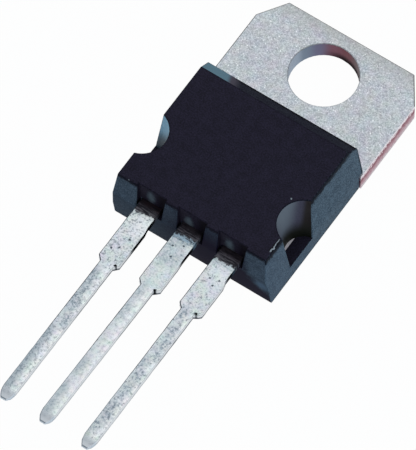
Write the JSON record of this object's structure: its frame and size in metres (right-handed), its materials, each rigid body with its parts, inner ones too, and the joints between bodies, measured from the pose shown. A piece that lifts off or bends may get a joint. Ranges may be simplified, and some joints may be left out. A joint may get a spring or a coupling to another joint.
{
  "type": "voltage regulator",
  "caption": "Linear voltage regulator in a black moulded package with a drilled metal cooling tab and straight tinned leads.",
  "frame": {"origin": "centre of the screw hole, on the back face that meets a heat sink", "axes": "+Y to the tab's free end, -Y along the leads, +Z out of the front face, +X to the right seen from the front"},
  "size_m": [0.0102, 0.0289, 0.0045],
  "materials": {
    "epoxy": "fine matte black moulding",
    "plated_copper": "satin blasted nickel plate on copper",
    "tinned_copper": "dipped tin over copper, mottled and pitted",
    "silicon": "polished silicon",
    "solder": "reflowed solder",
    "bond_wire": "drawn aluminium wire"
  },
  "bodies": {
    "root": {"body": "epoxy", "heat_tab": "plated_copper", "input_lead": "tinned_copper", "output_lead": "tinned_copper", "chip": "silicon", "chip_solder": "solder", "input_wire": "bond_wire", "output_wire": "bond_wire", "ground_wire": "bond_wire"}
  },
  "joints": []
}
